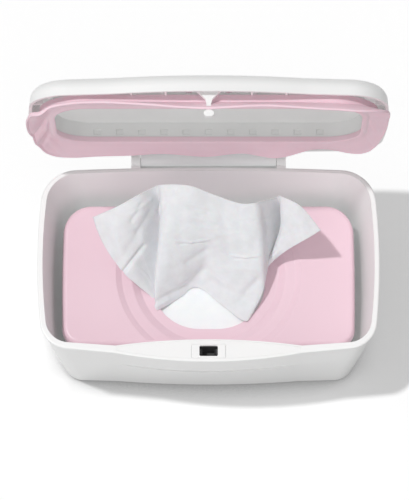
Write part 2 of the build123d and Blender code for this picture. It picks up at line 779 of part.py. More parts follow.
def striker_screws():
    """Two screws through the striker's plate."""
    seat = STRIKER_SEAT - 2.0
    screws = []
    for x in striker_screw_places():
        head = rod(2.1, (x, LATCH_Y, seat - 1.3), (x, LATCH_Y, seat - 0.02))
        head -= box((x - 1.4, x + 1.4), (LATCH_Y - 0.3, LATCH_Y + 0.3), (seat - 2, seat - 0.8))
        screws.append(head + rod(SCREW_R, (x, LATCH_Y, seat - 0.1), (x, LATCH_Y, seat + 5.5)))
    return Compound(children=screws)


def plate_face(z, inset):
    """The plate's outline: rounder at the rear corners than at the front ones."""
    return outline(
        PLATE_HALF - 1 - inset,
        PLATE_REAR - inset,
        PLATE_FRONT + inset,
        0,
        0.6,
        1,
        (PLATE_REAR_RADIUS - inset, PLATE_FRONT_RADIUS - inset),
        z,
    )


def opening_cut(grow, low, high):
    """The squircle opening as a solid from low to high."""
    side = OPENING + 2 * grow
    return extrude(Pos(0, 0, low) * RectangleRounded(side, side, OPENING_RADIUS + grow), high - low)


def dish(grow, drop):
    """The round space over the plate's two-stepped dish, widened and lowered."""
    top = PLATE_TOP - drop
    profile = [
        (0, PLATE_TOP + 2),
        (DISH_R + grow, PLATE_TOP + 2),
        (DISH_R + grow, top),
        (DISH_R - 4 + grow, top - DISH_DEEP * 0.4),
        (DISH_INNER_R + grow, top - DISH_DEEP * 0.45),
        (DISH_INNER_R - 5 + grow, top - DISH_DEEP),
        (0, top - DISH_DEEP),
    ]
    with BuildSketch(Plane.XZ) as face:
        with BuildLine():
            Polyline(*profile, close=True)
        make_face()
        steps = [v for v in face.vertices() if v.X > DISH_INNER_R / 2 and v.Y < top - 0.1]
        fillet(steps, DISH_ROUND)
    keep = box((-PLATE_HALF, PLATE_HALF), (PLATE_FRONT + 3.4, PLATE_REAR - 3.4), (0, PLATE_TOP + 9))
    return revolve(face.sketch, Axis.Z) & keep


def plate_top():
    """The pink plate: a stepped dish, a rolled edge and a lipped opening."""
    form = between(plate_face(PLATE_LOW, 0), plate_face(PLATE_TOP, PLATE_DRAFT))
    form = fillet(form.edges().group_by(Axis.Z)[-1], PLATE_ROLL)
    hollow = between(
        plate_face(PLATE_LOW - 0.1, PLATE_THICK),
        plate_face(PLATE_TOP - PLATE_THICK, PLATE_DRAFT + PLATE_THICK + 0.2),
    )
    lip = opening_cut(1.8, PLATE_LOW + 0.2, PLATE_TOP - DISH_DEEP - 0.5)
    body = (form - hollow) + (dish(1.5, PLATE_THICK) & form) + lip
    body -= dish(0, 0)
    body -= opening_cut(0, PLATE_LOW - 1, PLATE_TOP + 1)
    for x, y in plate_screw_places():
        post = rod(2.6, (x, y, PLATE_LOW + 2.6), (x, y, PLATE_TOP - 1.2))
        body += post - rod(BOSS_HOLE, (x, y, PLATE_LOW), (x, y, PLATE_TOP - 2.6))
    return body


def plate_screw_places():
    x = PLATE_HALF - 13.0
    y = PLATE_REAR - 17.5
    return [(sx * x, sy * y) for sx in (-1, 1) for sy in (-1, 1)]


def plate_weights():
    """Two steel bars inside the plate that press the wipes down."""
    bars = []
    z = (PLATE_LOW + COVER_THICK + 0.02, PLATE_TOP - PLATE_THICK - 0.6)
    near = DISH_R + 5
    far = PLATE_HALF - 19
    for side in (-1, 1):
        bar = box(sorted((side * near, side * far)), (-38.0, 38.0), z)
        bars.append(fillet(bar.edges().filter_by(Axis.Z), 0.23 * (far - near)))
    return Compound(children=bars)


def plate_base():
    """The cover that closes the plate's underside."""
    low = PLATE_LOW
    cover = extrude(plate_face(low, PLATE_THICK + 0.6), COVER_THICK)
    cover -= opening_cut(2.1, low - 1, low + 4)
    for x, y in plate_screw_places():
        cover -= rod(SCREW_HOLE, (x, y, low - 1), (x, y, low + 3))
        cover -= rod(2.3, (x, y, low - 1), (x, y, low + 0.6))
        ring = rod(3.2, (x, y, low + 1.4), (x, y, low + 2.55))
        cover += ring - rod(SCREW_HOLE, (x, y, low), (x, y, low + 3))
    return cover


def plate_screws():
    """Four screws, heads sunk in the plate's cover."""
    low = PLATE_LOW
    screws = []
    for x, y in plate_screw_places():
        head = rod(2.1, (x, y, low), (x, y, low + 0.58))
        screws.append(head + rod(SCREW_R, (x, y, low + 0.5), (x, y, low + 5.2)))
    return Compound(children=screws)


def wipe_stack():
    """The block of folded wipes, with rounded folds along its long sides."""
    low = FLOOR + 0.05
    high = PLATE_LOW - 0.05
    block = box((-STACK_HALF, STACK_HALF), (-STACK_Y / 2, STACK_Y / 2), (low, high))
    block = fillet(block.edges().filter_by(Axis.X), 3.0)
    block = fillet(block.edges().filter_by(Axis.Z), 1.5)
    dome = between(dome_face(high - 0.5, 5.0), dome_face(high + 2.5, 8.0))
    return block + dome


def dome_face(z, inset):
    """The stack's raised middle, inside the opening by inset."""
    side = OPENING - 2 * inset
    return Pos(0, 0, z) * RectangleRounded(side, side, OPENING_RADIUS - inset)


def ribbon(points, thick, z):
    """A closed face round a bent line of (x, y) points, thick across it."""
    near = [(p[0], p[1] - thick / 2) for p in points]
    far = [(p[0], p[1] + thick / 2) for p in reversed(points)]
    with BuildSketch(Plane.XY.offset(z)) as face:
        with BuildLine():
            Polyline(*near, *far, close=True)
        make_face()
    return face.sketch


# Each row is a height over the plate, a thickness and the folded line's (x, y) points.
WIPE_ROWS = [
    (-5.4, 12.0, [(-27, -16), (-17, -8), (-7, -2), (3, -6), (12, -13), (19, -18)]),
    (4.0, 13.0, [(-35, -13), (-24, -3), (-9, 4), (6, 0), (20, -8), (29, -14)]),
    (18.0, 12.0, [(-49, 4), (-34, 12), (-14, 18), (8, 13), (29, 5), (40, -2)]),
    (34.0, 9.0, [(-66, 20), (-43, 28), (-20, 34), (10, 25), (40, 24), (61, 10)]),
    (49.0, 5.0, [(-76, 29), (-49, 37), (-25, 43), (12, 34), (46, 37), (74, 17)]),
]


def pulled_wipe():
    """The next wipe, standing in soft folds out of the plate's opening."""
    faces = [ribbon(points, thick, PLATE_TOP + z).face() for z, thick, points in WIPE_ROWS]
    return loft(faces, ruled=True)


NODES = {
    "tub_shell": tub_shell,
    "non_slip_feet": non_slip_feet,
    "ledge_cap": ledge_cap,
    "latch_bezel": latch_bezel,
    "latch_housing": latch_housing,
    "latch_screws": latch_screws,
    "latch_spring": latch_spring,
    "latch_carriage": latch_carriage,
    "jaw_left": lambda: jaw(-1),
    "jaw_right": lambda: jaw(1),
    "jaw_pins": jaw_pins,
    "cam_follower": cam_follower,
    "hinge_pins": hinge_pins,
    "wipe_stack": wipe_stack,
    "plate_top": plate_top,
    "plate_weights": plate_weights,
    "plate_base": plate_base,
    "plate_screws": plate_screws,
    "pulled_wipe": pulled_wipe,
    "lid_shell": lambda: swung_open(lid_shell()),
    "lid_window": lambda: swung_open(lid_window()),
    "window_frame": lambda: swung_open(window_frame()),
    "lid_gasket": lambda: swung_open(lid_gasket()),
    "lid_arm": lambda: swung_open(lid_arm()),
    "arm_screws": lambda: swung_open(arm_screws()),
    "striker": lambda: swung_open(striker()),
    "striker_screws": lambda: swung_open(striker_screws()),
}


def main():
    os.makedirs("parts", exist_ok=True)
    shapes = {name: make() for name, make in NODES.items()}
    boxes = [shape.bounding_box() for shape in shapes.values()]
    shift_x = -(min(b.min.X for b in boxes) + max(b.max.X for b in boxes)) / 2
    shift_y = -(min(b.min.Y for b in boxes) + max(b.max.Y for b in boxes)) / 2
    shift_z = -min(b.min.Z for b in boxes)
    print("moved by", round(shift_x, 4), round(shift_y, 4), round(shift_z, 4))
    for name, shape in shapes.items():
        export_step(Pos(shift_x, shift_y, shift_z) * shape, f"parts/{name}.step")


if __name__ == "__main__":
    main()
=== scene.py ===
"""Looks of the wipes dispenser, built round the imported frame."""

import json
import math

import bpy
import numpy as np
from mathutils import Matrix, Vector

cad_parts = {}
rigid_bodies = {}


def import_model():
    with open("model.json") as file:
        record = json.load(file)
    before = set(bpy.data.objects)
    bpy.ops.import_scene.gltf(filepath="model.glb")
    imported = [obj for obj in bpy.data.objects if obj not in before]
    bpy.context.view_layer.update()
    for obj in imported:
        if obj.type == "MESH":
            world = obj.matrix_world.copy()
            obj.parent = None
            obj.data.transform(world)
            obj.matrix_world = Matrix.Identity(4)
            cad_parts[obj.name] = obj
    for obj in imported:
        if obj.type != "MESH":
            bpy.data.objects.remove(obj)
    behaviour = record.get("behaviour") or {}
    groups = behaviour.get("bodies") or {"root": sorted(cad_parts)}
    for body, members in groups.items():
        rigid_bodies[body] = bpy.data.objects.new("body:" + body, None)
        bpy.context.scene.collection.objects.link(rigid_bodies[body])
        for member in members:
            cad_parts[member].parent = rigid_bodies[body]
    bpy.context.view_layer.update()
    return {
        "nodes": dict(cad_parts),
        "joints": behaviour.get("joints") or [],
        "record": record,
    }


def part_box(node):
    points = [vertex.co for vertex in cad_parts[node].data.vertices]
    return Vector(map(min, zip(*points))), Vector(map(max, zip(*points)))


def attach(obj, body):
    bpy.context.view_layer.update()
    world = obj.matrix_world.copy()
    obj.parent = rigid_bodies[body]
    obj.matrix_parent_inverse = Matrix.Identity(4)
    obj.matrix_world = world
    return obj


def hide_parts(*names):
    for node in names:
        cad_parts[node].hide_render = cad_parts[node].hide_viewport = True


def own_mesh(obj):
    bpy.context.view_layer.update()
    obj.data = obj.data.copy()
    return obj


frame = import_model()

MM = 0.001
JOINTS = {joint["name"]: joint for joint in frame["joints"]}
HINGE_Y = 71.5
HINGE_Z = 91.0
LID_OPEN = math.radians(88.0)
HINGE = JOINTS["lid_hinge"]["pos_m"]
SHIFT = np.array([0.0, HINGE[1] - HINGE_Y * MM, HINGE[2] - HINGE_Z * MM])

# Camera, in millimetres of the drawing
CAMERA_TILT = math.radians(73.06)
CAMERA_AWAY = 2362.0
CAMERA_AIM = np.array([-2.79, 6.1, 94.0])
CAMERA_LENS = 250.3
FOCAL_PIXELS = 3477.0
CENTRE_PIXELS = (204.5, 250.0)
LOOK = np.array([0.0, math.cos(CAMERA_TILT), -math.sin(CAMERA_TILT)])
UP = np.array([0.0, math.sin(CAMERA_TILT), math.cos(CAMERA_TILT)])
EYE = CAMERA_AIM - LOOK * CAMERA_AWAY


def row(points):
    """Millimetres of the drawing to metres of the row frame."""
    return np.asarray(points, float) * MM + SHIFT


def seen_at(px, py, z):
    """The drawing's point at height z that the camera sees at a pixel."""
    across = (px - CENTRE_PIXELS[0]) / FOCAL_PIXELS
    above = (CENTRE_PIXELS[1] - py) / FOCAL_PIXELS
    ray = LOOK[None, :] + np.stack([across, 0 * across, 0 * across], -1) + above[:, None] * UP
    reach = (z - EYE[2]) / ray[:, 2]
    return EYE[None, :] + ray * reach[:, None]


def open_lid(points):
    """Turns closed lid points, in drawing millimetres, to the open lid."""
    p = np.asarray(points, float)
    y = p[..., 1] - HINGE_Y
    z = p[..., 2] - HINGE_Z
    c = math.cos(LID_OPEN)
    s = math.sin(LID_OPEN)
    return np.stack([p[..., 0], HINGE_Y + y * c + z * s, HINGE_Z - y * s + z * c], -1)


# Materials
def material(name):
    made = bpy.data.materials.new(name)
    made.use_nodes = True
    tree = made.node_tree
    return made, tree, tree.nodes["Principled BSDF"]


def add(tree, kind, **values):
    node = tree.nodes.new(kind)
    for key, value in values.items():
        setattr(node, key, value)
    return node


def noise(tree, scale, detail=2.0, stretch=(1, 1, 1), rough=0.5):
    """A noise in object space, stretched by stretch."""
    place = add(tree, "ShaderNodeTexCoord")
    mapping = add(tree, "ShaderNodeMapping")
    mapping.inputs["Scale"].default_value = stretch
    texture = add(tree, "ShaderNodeTexNoise")
    texture.inputs["Scale"].default_value = scale
    texture.inputs["Detail"].default_value = detail
    texture.inputs["Roughness"].default_value = rough
    tree.links.new(place.outputs["Object"], mapping.inputs["Vector"])
    tree.links.new(mapping.outputs["Vector"], texture.inputs["Vector"])
    return texture


def remap(tree, source, low, high, start=0.35, end=0.65):
    node = add(tree, "ShaderNodeMapRange")
    node.inputs["From Min"].default_value = start
    node.inputs["From Max"].default_value = end
    node.inputs["To Min"].default_value = low
    node.inputs["To Max"].default_value = high
    tree.links.new(source, node.inputs["Value"])
    return node.outputs["Result"]


def tint(tree, source, first, second, start=0.35, end=0.65):
    """A colour that drifts between two close tones."""
    ramp = add(tree, "ShaderNodeValToRGB")
    ramp.color_ramp.elements[0].position = start
    ramp.color_ramp.elements[1].position = end
    ramp.color_ramp.elements[0].color = (*first, 1)
    ramp.color_ramp.elements[1].color = (*second, 1)
    tree.links.new(source, ramp.inputs["Fac"])
    return ramp.outputs["Color"]


def bump(tree, source, strength, distance, after=None):
    node = add(tree, "ShaderNodeBump")
    node.inputs["Strength"].default_value = strength
    node.inputs["Distance"].default_value = distance
    tree.links.new(source, node.inputs["Height"])
    if after is not None:
        tree.links.new(after, node.inputs["Normal"])
    return node.outputs["Normal"]


def rounded_edges(tree, reach):
    """A normal that rounds the edges within reach."""
    bevel = add(tree, "ShaderNodeBevel", samples=4)
    bevel.inputs["Radius"].default_value = reach
    return bevel.outputs["Normal"]


def moulded(name, first, second, gloss, grain, sub=0.0):
    """Injection-moulded plastic: faint tone and gloss drift, and a fine grain."""
    made, tree, shader = material(name)
    drift = noise(tree, 9, 1)
    fine = noise(tree, 500, 1)
    flow = noise(tree, 24, 1)
    tree.links.new(tint(tree, drift.outputs["Fac"], first, second), shader.inputs["Base Color"])
    tree.links.new(
        remap(tree, flow.outputs["Fac"], gloss - 0.01, gloss + 0.02, 0.2, 0.8),
        shader.inputs["Roughness"],
    )
    tree.links.new(bump(tree, fine.outputs["Fac"], grain, 0.00005), shader.inputs["Normal"])
    shader.inputs["IOR"].default_value = 1.49
    if sub:
        shader.inputs["Subsurface Weight"].default_value = sub
        shader.inputs["Subsurface Scale"].default_value = 0.004
        shader.inputs["Subsurface Radius"].default_value = (1.0, 0.8, 0.8)
    return made


def silicone(name, first, second):
    made, tree, shader = material(name)
    drift = noise(tree, 22, 3)
    fine = noise(tree, 1500, 3)
    soft = noise(tree, 120, 2)
    tree.links.new(tint(tree, drift.outputs["Fac"], first, second), shader.inputs["Base Color"])
    tree.links.new(remap(tree, soft.outputs["Fac"], 0.40, 0.54), shader.inputs["Roughness"])
    shader.inputs["Subsurface Weight"].default_value = 0.25
    shader.inputs["Subsurface Scale"].default_value = 0.003
    shader.inputs["Subsurface Radius"].default_value = (1.0, 0.55, 0.6)
    shader.inputs["IOR"].default_value = 1.42
    waved = bump(tree, soft.outputs["Fac"], 0.18, 0.0005)
    tree.links.new(bump(tree, fine.outputs["Fac"], 0.12, 0.0001, waved), shader.inputs["Normal"])
    return made


def clear_tray(name):
    """Translucent moulded plastic, clouded, with a satin grain."""
    made, tree, shader = material(name)
    cloud = noise(tree, 18, 3)
    fine = noise(tree, 1800, 2)
    tree.links.new(
        tint(tree, cloud.outputs["Fac"], (0.87, 0.88, 0.87), (0.91, 0.92, 0.91)),
        shader.inputs["Base Color"],
    )
    tree.links.new(remap(tree, cloud.outputs["Fac"], 0.28, 0.38), shader.inputs["Roughness"])
    shader.inputs["Transmission Weight"].default_value = 0.25
    shader.inputs["IOR"].default_value = 1.49
    rounded = rounded_edges(tree, 0.0006)
    tree.links.new(bump(tree, fine.outputs["Fac"], 0.15, 0.0001, rounded), shader.inputs["Normal"])
    return made


def cloth(name, first, second):
    """Spun-laced wipe: matted fibres lying mostly one way, with faint rows."""
    made, tree, shader = material(name)
    fibres = noise(tree, 1900, 4, (0.25, 1.0, 1.0), 0.65)
    cross = noise(tree, 1400, 4, (1.0, 0.3, 1.0), 0.65)
    patch = noise(tree, 160, 3)
    place = add(tree, "ShaderNodeUVMap")
    rows = add(tree, "ShaderNodeTexWave", wave_type="BANDS", bands_direction="Y")
    rows.inputs["Scale"].default_value = 38
    rows.inputs["Distortion"].default_value = 1.4
    rows.inputs["Detail"].default_value = 2
    tree.links.new(place.outputs["UV"], rows.inputs["Vector"])
    both = add(tree, "ShaderNodeMath", operation="MULTIPLY")
    tree.links.new(fibres.outputs["Fac"], both.inputs[0])
    tree.links.new(cross.outputs["Fac"], both.inputs[1])
    tree.links.new(tint(tree, patch.outputs["Fac"], first, second), shader.inputs["Base Color"])
    shader.inputs["Roughness"].default_value = 0.86
    shader.inputs["Sheen Weight"].default_value = 0.25
    shader.inputs["Sheen Roughness"].default_value = 0.4
    shader.inputs["Subsurface Weight"].default_value = 0.12
    shader.inputs["Subsurface Scale"].default_value = 0.002
    spun = bump(tree, rows.outputs["Fac"], 0.10, 0.0002)
    puffed = bump(tree, patch.outputs["Fac"], 0.15, 0.0006, spun)
    tree.links.new(bump(tree, both.outputs[0], 0.35, 0.0004, puffed), shader.inputs["Normal"])
    return made


def steel(name, first, second, gloss):
    made, tree, shader = material(name)
    lines = noise(tree, 900, 3, (1, 1, 0.06))
    drift = noise(tree, 70, 2)
    tree.links.new(tint(tree, drift.outputs["Fac"], first, second), shader.inputs["Base Color"])
    shader.inputs["Metallic"].default_value = 1.0
    tree.links.new(
        remap(tree, lines.outputs["Fac"], gloss - 0.06, gloss + 0.08), shader.inputs["Roughness"]
    )
    rounded = rounded_edges(tree, 0.0002)
    drawn = bump(tree, lines.outputs["Fac"], 0.1, 0.00005, rounded)
    tree.links.new(drawn, shader.inputs["Normal"])
    return made


white = moulded("white_moulded", (0.93, 0.93, 0.925), (0.95, 0.95, 0.945), 0.30, 0.05, 0.04)
pink = moulded("pink_moulded", (0.84, 0.62, 0.695), (0.86, 0.64, 0.715), 0.34, 0.08, 0.06)
# The arm's grey is lifted almost to white to offset the shade it sits in: painted light
grey = moulded("grey_moulded", (0.90, 0.91, 0.91), (0.92, 0.93, 0.93), 0.42, 0.12)
black = moulded("black_moulded", (0.030, 0.030, 0.032), (0.045, 0.045, 0.048), 0.38, 0.2)
rubber = moulded("foot_rubber_grain", (0.72, 0.72, 0.71), (0.76, 0.76, 0.75), 0.7, 0.4)
rose = silicone("rose_silicone", (0.92, 0.66, 0.735), (0.95, 0.69, 0.765))
tray = clear_tray("clouded_tray")
# The pulled wipe is the stack's cloth in a darker tone: painted shade
wipe_cloth = cloth("spunlace", (0.74, 0.75, 0.77), (0.78, 0.79, 0.81))
stack_cloth = cloth("stacked_spunlace", (0.93, 0.94, 0.95), (0.95, 0.96, 0.96))
screw = steel("screw_metal", (0.60, 0.60, 0.60), (0.68, 0.68, 0.67), 0.30)
wire = steel("spring_wire", (0.52, 0.52, 0.54), (0.60, 0.60, 0.61), 0.25)

BY_SLOT = {
    "white_shell": white,
    "foot_rubber": rubber,
    "latch_black": black,
    "screw_steel": screw,
    "spring_steel": wire,
    "wipe_cloth": wipe_cloth,
    "plate_pink": pink,
    "window_clear": tray,
    "gasket_pink": rose,
    "arm_grey": grey,
}
for part in frame["record"]["subparts"]:
    node = frame["nodes"][part["node"]]
    node.data.materials.clear()
    node.data.materials.append(BY_SLOT[part["material_slot"]])


# Mesh helpers
def mesh_piece(name, points, faces, paint, uv=None):
    data = bpy.data.meshes.new(name)
    data.from_pydata([tuple(p) for p in points], [], faces)
    data.validate()
    data.materials.append(paint)
    if uv is not None:
        layer = data.uv_layers.new(name="UVMap")
        for loop in data.loops:
            layer.data[loop.index].uv = uv[loop.vertex_index]
    for polygon in data.polygons:
        polygon.use_smooth = True
    piece = bpy.data.objects.new(name, data)
    bpy.context.scene.collection.objects.link(piece)
    return piece


def grid_faces(rows, columns, wrap=False, start=0, flip=False):
    """Quads over a grid whose points run along each row."""
    faces = []
    span = columns if wrap else columns - 1
    for i in range(rows - 1):
        for j in range(span):
            k = (j + 1) % columns
            quad = [i * columns + j, i * columns + k, (i + 1) * columns + k, (i + 1) * columns + j]
            quad = [start + q for q in quad]
            faces.append(quad[::-1] if flip else quad)
    return faces


def normals_of(grid, wrap=False):
    """Unit normals of a grid of points."""
    if wrap:
        along = np.roll(grid, -1, 1) - np.roll(grid, 1, 1)
    else:
        along = np.gradient(grid, axis=1)
    over = np.gradient(grid, axis=0)
    n = np.cross(along, over)
    return n / np.maximum(np.linalg.norm(n, axis=-1, keepdims=True), 1e-9)


def smooth_through(knots, values, at):
    """Catmull-Rom values through the knots' values, at new places."""
    knots = np.asarray(knots, float)
    values = np.asarray(values, float)
    slopes = np.gradient(values, knots, axis=0)
    out = []
    for t in at:
        i = int(np.clip(np.searchsorted(knots, t) - 1, 0, len(knots) - 2))
        h = knots[i + 1] - knots[i]
        s = (t - knots[i]) / h
        out.append(
            (2 * s**3 - 3 * s**2 + 1) * values[i]
            + (s**3 - 2 * s**2 + s) * h * slopes[i]
            + (3 * s**2 - 2 * s**3) * values[i + 1]
            + (s**3 - s**2) * h * slopes[i + 1]
        )
    return np.array(out)


def closed_sheet(name, grid, thick, paint):
    """A closed thin piece round a grid of points, thick across it."""
    rows, columns = grid.shape[:2]
    n = normals_of(grid)
    near = (grid + n * thick / 2).reshape(-1, 3)
    far = (grid - n * thick / 2).reshape(-1, 3)
    count = rows * columns
    faces = grid_faces(rows, columns) + grid_faces(rows, columns, start=count, flip=True)
    ring = list(range(columns))
    ring += [i * columns + columns - 1 for i in range(1, rows)]
    ring += [(rows - 1) * columns + j for j in range(columns - 2, -1, -1)]
    ring += [i * columns for i in range(rows - 2, 0, -1)]
    for k, a in enumerate(ring):
        b = ring[(k + 1) % len(ring)]
        faces.append([a, a + count, b + count, b])
    v, u = np.meshgrid(np.linspace(0, 1, rows), np.linspace(0, 1, columns), indexing="ij")
    uv = np.concatenate([np.stack([u, v], -1).reshape(-1, 2)] * 2)
    return mesh_piece(name, np.concatenate([near, far]), faces, paint, uv)


# The pulled wipe. Each row runs left to right: pixel across, pixel down, height.
WIPE_ROWS = [
    [
        (151, 296, 55.6), (153, 299, 55.2), (156, 301, 54.9), (161, 303, 54.8), (157.5, 310, 56.4),
        (181, 297, 55.2), (198, 287.5, 55.2), (221, 304.5, 55.6), (244, 321, 57.0),
        (252, 314, 56.8), (256, 304, 56.6), (260, 288, 57.5), (261, 282, 58.5), (263, 272, 61),
    ],
    [
        (137, 285, 64), (143, 280, 64.5), (150, 275, 62.5), (157.5, 279, 59), (155.5, 286, 69),
        (180, 278, 69), (204, 270, 69), (234, 284, 67), (259, 291, 66), (264, 287, 65),
        (263, 276, 62), (262, 270, 64), (267, 265, 66), (273, 261, 67),
    ],
    [
        (121, 270, 72), (131, 262, 76), (143, 256, 74), (160, 260, 64), (158, 259, 82),
        (184, 252, 86), (207, 250, 84), (238, 258, 82), (262, 264, 82), (267, 257, 72),
        (274, 252, 65), (273, 250, 70), (280, 248, 76), (285, 251.5, 75),
    ],
    [
        (107, 250, 79), (123, 241, 86), (142, 236, 84), (162.5, 233, 72), (160.5, 231, 95),
        (184, 228, 100), (208, 230, 98), (238, 236, 95), (260, 238, 94), (268, 234, 84),
        (282, 229, 68), (280.5, 227, 83), (290, 230, 89), (297.5, 244, 88),
    ],
    [
        (98, 232, 84), (119, 222, 95), (141, 214, 95), (162, 206, 84), (161, 205, 103),
        (185, 205, 109), (210, 212, 105), (238, 219, 102), (257.5, 218, 103), (266, 214, 95),
        (283, 210, 78), (281, 209, 94), (298, 218, 99), (310, 237, 99),
    ],
    [
        (93, 217, 88), (117, 206.5, 99), (139, 194.2, 104), (154, 186.8, 102), (163, 184.6, 109),
        (189, 185.4, 116), (214, 194.5, 111), (239, 203, 107), (254, 203, 107), (262, 201, 103),
        (276, 197.0, 92), (282, 196.4, 98), (302, 207, 108), (321, 230, 109.5),
    ],
]
WIPE_THICK = 0.45

# Folds of the wipe, in pixels: start, end, height across the cloth, width
WIPE_FOLDS = [
    (124, 271, 143, 247, -1.9, 2.2),
    (118, 262, 136, 238, -0.7, 5.0),
    (161, 300, 186, 287, -1.4, 3.5),
    (186, 287, 203, 272, -1.5, 4.5),
    (203, 272, 208, 255, -1.2, 6.0),
    (156, 306, 167, 300, 1.3, 2.6),
    (176, 240.5, 191, 242.3, 0.55, 1.1),
    (191, 242.3, 208, 239.5, 0.55, 1.1),
    (180, 243.8, 206, 242.6, -0.45, 1.1),
    (232, 255.5, 245, 257, 0.5, 1.1),
    (245, 257, 259, 255.5, 0.5, 1.1),
    (236, 258.6, 256, 258.6, -0.4, 1.1),
    (190, 208, 206, 212, -0.8, 2.5),
    (196, 222, 214, 226, -0.6, 3.0),
    (188, 262, 204, 252, -1.0, 3.5),
    (141, 205, 132, 220, -0.8, 2.5),
    (150, 212, 138, 232, -0.8, 3.0),
    (135, 212, 150, 200, 0.6, 2.0),
    (112, 232, 122, 250, 0.6, 4.0),
    (172, 215, 174, 245, 0.5, 5.0),
    (222, 215, 228, 250, -0.7, 6.0),
    (243, 212, 248, 250, 0.6, 5.0),
    (212, 282, 250, 300, -0.7, 4.0),
    (225, 268, 255, 270, 0.5, 4.0),
    (246, 292, 256, 282, -1.3, 3.5),
    (240, 300, 250, 296, -0.8, 3.0),
    (288, 206, 296, 222, 0.5, 4.0),
    (284, 236, 304, 226, -0.6, 3.0),
    (170, 192, 160, 210, -0.8, 3.5),
    (166, 225, 168, 262, 0.4, 4.0),
]


def along_segment(px, py, fold):
    """Across and past distances from a fold's segment."""
    x0, y0, x1, y1 = fold[:4]
    length = math.hypot(x1 - x0, y1 - y0)
    ux, uy = (x1 - x0) / length, (y1 - y0) / length
    run = (px - x0) * ux + (py - y0) * uy
    past = np.maximum(np.maximum(-run, run - length), 0)
    return (px - x0) * uy - (py - y0) * ux, past


def pulled_wipe():
    rows = np.array(WIPE_ROWS, float)
    fine_v = np.linspace(0, 1, 150)
    fine_u = np.linspace(0, 1, 300)
    knots_u = np.linspace(0, 1, rows.shape[1])
    knots_v = np.linspace(0, 1, rows.shape[0])
    wide = np.array([smooth_through(knots_u, line, fine_u) for line in rows])
    full = smooth_through(knots_v, wide, fine_v)
    px, py = full[..., 0], full[..., 1]
    grid = seen_at(px.ravel(), py.ravel(), full[..., 2].ravel()).reshape(full.shape)
    relief = np.zeros(px.shape)
    for fold in WIPE_FOLDS:
        across, past = along_segment(px, py, fold)
        width = fold[5]
        relief += fold[4] * np.exp(-((across / width) ** 2) - (past / (1.5 * width)) ** 2)
    u, v = np.meshgrid(fine_u, fine_v)
    draw = np.random.default_rng(4)
    for _ in range(40):
        cu, cv = draw.uniform(0.03, 0.97), draw.uniform(0.1, 0.95)
        turn = draw.normal(1.35, 0.5)
        across = (u - cu) * math.sin(turn) * 1.5 - (v - cv) * math.cos(turn)
        along = (u - cu) * math.cos(turn) * 1.5 + (v - cv) * math.sin(turn)
        size = draw.uniform(0.010, 0.024)
        relief += draw.uniform(-0.35, 0.35) * np.exp(-((across / size) ** 2) - (along / 0.12) ** 2)
    relief += 0.35 * np.exp(-(((1 - v) / 0.012) ** 2))
    n = normals_of(grid)
    n *= np.sign(n[..., 2:3] + 1e-9)
    grid = grid + n * relief[..., None]
    return closed_sheet("pulled_sheet", row(grid), WIPE_THICK * MM, wipe_cloth)


wipe = pulled_wipe()
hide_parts("pulled_wipe")
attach(wipe, "plate")


# The stack of folded wipes
STACK_LAYERS = 22
STACK_HALF_X = 93.0
STACK_HALF_Y = 47.5


def stack_layers(low, high):
    """Closed C-folded wipes one on another, folds at front and rear in turn."""
    points = []
    faces = []
    pitch = (high - low) / STACK_LAYERS
    draw = np.random.default_rng(11)
    for layer in range(STACK_LAYERS):
        side = 1 if layer % 2 else -1
        base = low + layer * pitch
        leaf = pitch * 0.42
        section = []
        fold = side * (STACK_HALF_Y - leaf - draw.uniform(0, 0.8))
        free = -side * (STACK_HALF_Y - draw.uniform(0.4, 2.0))
        section += [(free, 0.06 * pitch), (fold * 0.5, 0.04 * pitch), (fold, 0.04 * pitch)]
        for k in range(1, 6):
            t = -math.pi / 2 + math.pi * k / 6
            section.append(
                (fold + side * leaf * math.cos(t), 0.5 * pitch + 0.46 * pitch * math.sin(t))
            )
        section += [(fold, 0.96 * pitch), (fold * 0.5, 0.96 * pitch), (free, 0.94 * pitch)]
        section += [(free, 0.55 * pitch), (fold * 0.6, 0.52 * pitch), (free, 0.47 * pitch)]
        columns = 41
        ends = STACK_HALF_X - draw.uniform(0, 1.2)
        start = len(points)
        wave = draw.uniform(0, 6.28)
        for j in range(columns):
            x = -ends + 2 * ends * j / (columns - 1)
            sway = 0.35 * math.sin(x * 0.055 + wave)
            for y, z in section:
                points.append((x, y + sway, base + z))
        m = len(section)
        for j in range(columns - 1):
            for k in range(m):
                a = start + j * m + k
                b = start + j * m + (k + 1) % m
                faces.append([a, b, b + m, a + m] if side > 0 else [a, a + m, b + m, b])
        first = [start + k for k in range(m)]
        last = [start + (columns - 1) * m + k for k in range(m)]
        faces.append(first[::-1] if side > 0 else first)
        faces.append(last if side > 0 else last[::-1])
    return mesh_piece("folded_wipes", row(points), faces, stack_cloth)


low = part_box("wipe_stack")[0]
drawing_low = (low.z - SHIFT[2]) / MM
drawing_top = (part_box("plate_base")[0].z - SHIFT[2]) / MM
stack = stack_layers(drawing_low, drawing_top - 0.1)
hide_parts("wipe_stack")
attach(stack, "stack")


def next_wipe():
    """The top wipe, bulging a little up into the plate's opening."""
    rows, columns = 60, 90
    y = np.linspace(-STACK_HALF_Y + 1.5, STACK_HALF_Y - 1.5, rows)
    x = np.linspace(-STACK_HALF_X + 1, STACK_HALF_X - 1, columns)
    gx, gy = np.meshgrid(x, y)
    reach = np.maximum(np.abs(gx), np.abs(gy))
    swell = np.clip((37.0 - reach) / 14.0, 0, 1)
    swell = swell * swell * (3 - 2 * swell)
    gz = drawing_top + 0.25 + 1.9 * swell
    gz += swell * (0.25 * np.sin(gx * 0.21 + gy * 0.05) + 0.2 * np.sin(gy * 0.33 - gx * 0.07))
    keep = np.stack([gx, gy, gz], -1)
    keep[..., 2] = np.where(reach > 36.5, drawing_top - 0.05, keep[..., 2])
    return closed_sheet("next_wipe", row(keep), 0.5 * MM, stack_cloth)


top_wipe = next_wipe()
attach(top_wipe, "stack")


